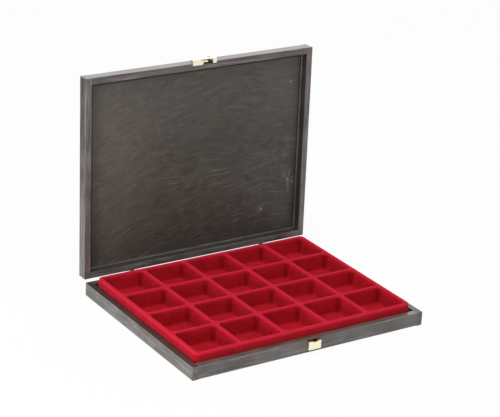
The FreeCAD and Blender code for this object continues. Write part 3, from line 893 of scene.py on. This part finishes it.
def add_border(bm, centre_x, centre_y, top, bottom):
    """The tiles' outer edge carried out over the rounded lip and down the skirt."""
    half_x = COLUMNS * (CELL_WIDTH + RIB_WIDTH) / 2
    half_y = ROWS * (CELL_LENGTH + RIB_WIDTH) / 2
    core_x = half_x - RIB_WIDTH / 2 + TRAY_BORDER - TRAY_CORNER
    core_y = half_y - RIB_WIDTH / 2 + TRAY_BORDER - TRAY_CORNER

    def on_rim(v):
        return (abs(abs(v.co.x - centre_x) - half_x) < WELD_DISTANCE
                or abs(abs(v.co.y - centre_y) - half_y) < WELD_DISTANCE)

    rim = [v for v in bm.verts if on_rim(v)]
    rim.sort(key=lambda v: math.atan2((v.co.y - centre_y) / half_y, (v.co.x - centre_x) / half_x))

    # The tiles' four outermost corners are drawn in, so that they stay inside the rounded lip
    for v in rim:
        x = v.co.x - centre_x
        y = v.co.y - centre_y
        dx = abs(x) - core_x
        dy = abs(y) - core_y
        if dx > 0 and dy > 0:
            share = min(1.0, (half_x - core_x) / math.hypot(dx, dy))
            v.co.x = centre_x + math.copysign(core_x + dx * share, x)
            v.co.y = centre_y + math.copysign(core_y + dy * share, y)

    def carried(outset, z):
        """The rim's points on a rounded rectangle that stands outset beyond the lip."""
        reach = TRAY_CORNER + outset
        found = []
        for v in rim:
            x = v.co.x - centre_x
            y = v.co.y - centre_y
            dx = max(abs(x) - core_x, 0.0)
            dy = max(abs(y) - core_y, 0.0)
            length = math.hypot(dx, dy)
            px = min(abs(x), core_x) + reach * dx / length
            py = min(abs(y), core_y) + reach * dy / length
            found.append((centre_x + math.copysign(px, x), centre_y + math.copysign(py, y)))
        return loop_of(bm, found, z)

    loops = [rim]
    for angle in quarter_steps():
        loops.append(carried(-LIP_ROUND * (1 - math.sin(angle)), top - LIP_ROUND * (1 - math.cos(angle))))
    fall = top - LIP_ROUND - bottom - SKIRT_CLEARANCE
    for step in range(1, SKIRT_STEPS + 1):
        share = step / SKIRT_STEPS
        loops.append(carried(SKIRT_DRAFT * share, top - LIP_ROUND - fall * share))
    for a, b in zip(loops, loops[1:]):
        bridge(bm, a, b)


def sway_pile(bm, top, bottom):
    """The pile isn't even: each point moves a little with a soft noise."""

    # Without a seed the noise would start from the clock and differ in each run
    noise.seed_set(FLOCK_SEED)
    for v in bm.verts:
        if v.co.z <= bottom + SHEET / 2:
            continue
        sway = noise.noise_vector(v.co * WAVES_PER_METRE) * FLOCK_WAVE
        v.co.x += sway.x
        v.co.y += sway.y
        if v.co.z < top - LEVEL_CREST:
            v.co.z += sway.z


def build_tray(material):
    low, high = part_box("coin_tray")
    top = high[Z]
    centre_x = (low[X] + high[X]) / 2
    centre_y = (low[Y] + high[Y]) / 2
    pitch_x = CELL_WIDTH + RIB_WIDTH
    pitch_y = CELL_LENGTH + RIB_WIDTH
    bm = bmesh.new()
    for column in range(COLUMNS):
        for row in range(ROWS):
            cx = centre_x + (column - (COLUMNS - 1) / 2) * pitch_x
            cy = centre_y + (row - (ROWS - 1) / 2) * pitch_y
            add_cell(bm, cx, cy, top, low[Z] + SHEET, pitch_x / 2, pitch_y / 2)
    bmesh.ops.remove_doubles(bm, verts=bm.verts, dist=WELD_DISTANCE)
    add_border(bm, centre_x, centre_y, top, low[Z])
    bmesh.ops.recalc_face_normals(bm, faces=bm.faces)
    if sum(face.normal.z * face.calc_area() for face in bm.faces) < 0:
        bmesh.ops.reverse_faces(bm, faces=bm.faces)
    sway_pile(bm, top, low[Z])
    tray = object_from_bmesh("flocked_tray", bm, smooth=True)

    # The sheet is a little thinner than the solid tray's, so that its underside clears the base panel
    sheet = tray.modifiers.new("sheet", "SOLIDIFY")
    sheet.thickness = SHEET * SHEET_SHARE
    sheet.offset = -1.0
    sheet.use_even_offset = False
    apply_modifiers(tray)
    tray.data.materials.append(material)
    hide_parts("coin_tray")
    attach(tray, "base")


# The lid's pieces are drawn shut and swung open about the hinge pin
def swing_open(obj):
    pin = Matrix.Translation(hinge_axis())
    obj.data.transform(pin @ Matrix.Rotation(-OPEN_ANGLE, 4, "X") @ pin.inverted())


def build_bead(material):
    """Bead round the inside of the lid, where its panel meets the rails."""
    section = [(0, 0)]
    for step in range(BEAD_STEPS + 1):
        angle = math.radians(90.0 * step / BEAD_STEPS)
        section.append((BEAD_WIDTH * math.sin(angle), BEAD_HEIGHT * math.cos(angle)))
    verts = []
    for sx, sy in ((1, 1), (-1, 1), (-1, -1), (1, -1)):
        for inset, drop in section:
            verts.append((sx * (RECESS_WIDTH / 2 - inset), sy * (RECESS_LENGTH / 2 - inset),
                          RECESS_CEILING - drop))
    count = len(section)
    faces = []
    for corner in range(4):
        here = corner * count
        there = (corner + 1) % 4 * count
        for step in range(count):
            after = (step + 1) % count
            faces.append((here + step, here + after, there + after, there + step))
    bead = object_from_faces("lid_bead", verts, faces)
    swing_open(bead)
    bead.data.materials.append(material)
    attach(bead, "lid")


# Hinge screws: low domed heads with a slot
def cut_slot(head, turn):
    reach = SCREW_HEAD / 2 * SLOT_OVERREACH
    half = SCREW_SLOT_WIDTH / 2
    corners = [(sx * reach, y, sz * half) for y in (SCREW_DOME - SCREW_SLOT_DEPTH, SCREW_DOME * 2)
               for sx, sz in ((-1, -1), (1, -1), (1, 1), (-1, 1))]
    sides = [(0, 1, 2, 3), (7, 6, 5, 4), (0, 4, 5, 1), (1, 5, 6, 2), (2, 6, 7, 3), (3, 7, 4, 0)]
    cutter = object_from_faces(head.name + "_slot", corners, sides)
    cutter.data.transform(Matrix.Rotation(turn, 4, "Y"))
    cut = head.modifiers.new("slot", "BOOLEAN")
    cut.operation = "DIFFERENCE"
    cut.solver = "EXACT"
    cut.object = cutter
    apply_modifiers(head)
    bpy.data.objects.remove(cutter)


def screw_head(name, x, z, turn):
    """A head that faces +Y on the back of a hinge leaf, its middle at (x, z)."""
    radius = SCREW_HEAD / 2
    rings = [(radius * share, SCREW_DOME * (1 - share * share)) for share in SCREW_RING_SHARES]
    rings.append((radius * SCREW_FOOT_SHARE, -SCREW_SINK))
    bm = bmesh.new()
    loops = []
    for reach, height in rings:
        angles = [2 * math.pi * step / SCREW_STEPS for step in range(SCREW_STEPS)]
        loops.append([bm.verts.new((reach * math.cos(a), height, reach * math.sin(a))) for a in angles])
    for a, b in zip(loops, loops[1:]):
        bridge(bm, a, b)
    bm.faces.new(loops[0])
    bm.faces.new(loops[-1])
    bmesh.ops.recalc_face_normals(bm, faces=bm.faces)
    head = object_from_bmesh(name, bm, smooth=False)
    cut_slot(head, turn)
    back_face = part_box("base_back_rail")[1][Y]
    head.data.transform(Matrix.Translation((x, back_face + LEAF_THICKNESS, z)))
    return head


def build_screws(material):
    pin = hinge_axis()
    for hinge in ("hinge_1", "hinge_2"):
        low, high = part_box(hinge + "_base_leaf")
        middle = (low[X] + high[X]) / 2
        level = low[Z] + SCREW_HEAD
        for index, side in enumerate((-1, 1)):
            x = middle + side * SCREW_SPACING / 2
            base_head = screw_head("%s_base_screw_%d" % (hinge, index + 1), x, level,
                                   BASE_SCREW_TURNS[index])
            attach(base_head, "base")
            lid_head = screw_head("%s_lid_screw_%d" % (hinge, index + 1), x, 2 * pin.z - level,
                                  LID_SCREW_TURNS[index])
            swing_open(lid_head)
            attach(lid_head, "lid")
            for head in (base_head, lid_head):
                head.data.materials.append(material)


# Floor and light. In reflections the floor is white near the case and darker far from it. It stands
# just above the case's underside, so that views from below show the case.
FLOOR_NOISE = dict(scale=3.0, detail=4.0)
FLOOR_STOPS = ((0.3, 0.86), (0.7, 0.90))
FLOOR_WHITE_SHARE = 0.93
MIRRORED_CENTRE = (0.15, -0.30, 0.0)
MIRRORED_WHITE_TO = 0.60
MIRRORED_DARK_FROM = 1.15
MIRRORED_DARK_LEVEL = 0.12
FLOOR_SIZE = 6.0
FLOOR_LEVEL = 0.02 * MM
FLOOR_RING_STEPS = 48
WHITE = (1.0, 1.0, 1.0)
WORLD_LEVEL = 0.50


def floor_material():
    n = new_material("floor_white")
    diffuse = n.add("BsdfDiffuse")
    n.link(n.ramp(n.noise(n.coordinates(), **FLOOR_NOISE), FLOOR_STOPS), diffuse.inputs["Color"])
    white = n.add("Emission")
    away = n.distance(n.coordinates(), MIRRORED_CENTRE)
    mirrored = n.fade(away, MIRRORED_WHITE_TO, MIRRORED_DARK_FROM, low=1.0, high=MIRRORED_DARK_LEVEL)
    camera_ray = n.add("LightPath").outputs["Is Camera Ray"]
    n.link(n.value("MAXIMUM", mirrored, camera_ray), white.inputs["Strength"])
    share = n.product(n.seen_or_mirrored(), FLOOR_WHITE_SHARE)
    n.surface_mix(share, diffuse.outputs[0], white.outputs[0])
    return n.owner


def build_stage():
    verts = [(0, 0, FLOOR_LEVEL)]
    faces = []
    for step in range(FLOOR_RING_STEPS):
        angle = 2 * math.pi * step / FLOOR_RING_STEPS
        verts.append((FLOOR_SIZE * math.cos(angle), FLOOR_SIZE * math.sin(angle), FLOOR_LEVEL))
        faces.append((0, 1 + step, 1 + (step + 1) % FLOOR_RING_STEPS))
    floor = object_from_faces("studio_floor", verts, faces)
    floor.data.materials.append(floor_material())


def build_world():
    world = bpy.data.worlds.new("studio")
    bpy.context.scene.world = world
    n = Nodes(world, "OutputWorld")
    room = n.add("Background")
    n.set_or_link(room.inputs["Color"], WHITE)
    room.inputs["Strength"].default_value = WORLD_LEVEL
    white = n.add("Background")
    n.set_or_link(white.inputs["Color"], WHITE)
    white.inputs["Strength"].default_value = 1.0
    n.surface_mix(n.seen_or_mirrored(), room.outputs[0], white.outputs[0])


def area_light(name, place, target, size, power):
    data = bpy.data.lights.new(name, "AREA")
    data.shape = "RECTANGLE"
    data.size, data.size_y = size
    data.energy = power
    light = bpy.data.objects.new(name, data)
    light.location = place
    light.rotation_euler = (Vector(target) - Vector(place)).to_track_quat("-Z", "Y").to_euler()
    bpy.context.scene.collection.objects.link(light)


def build_lights():
    area_light("overhead", place=(-0.5, -0.25, 2.0), target=(0, 0.05, 0.08), size=(1.4, 1.4), power=23.0)
    area_light("behind", place=(1.1, 1.7, 0.8), target=(0, 0.05, 0.12), size=(1.6, 0.9), power=3.0)
    area_light("left", place=(-0.88, -0.30, 0.10), target=(-0.15, -0.06, 0.01), size=(0.3, 0.2),
               power=3.5)


def build_scene():
    bpy.context.scene.view_settings.view_transform = "Standard"
    place_camera()
    build_world()
    build_stage()
    build_lights()
    metal = brass()
    dress_cad(metal)
    build_tray(red_flock())
    build_bead(stained_bead())
    build_screws(metal)


build_scene()
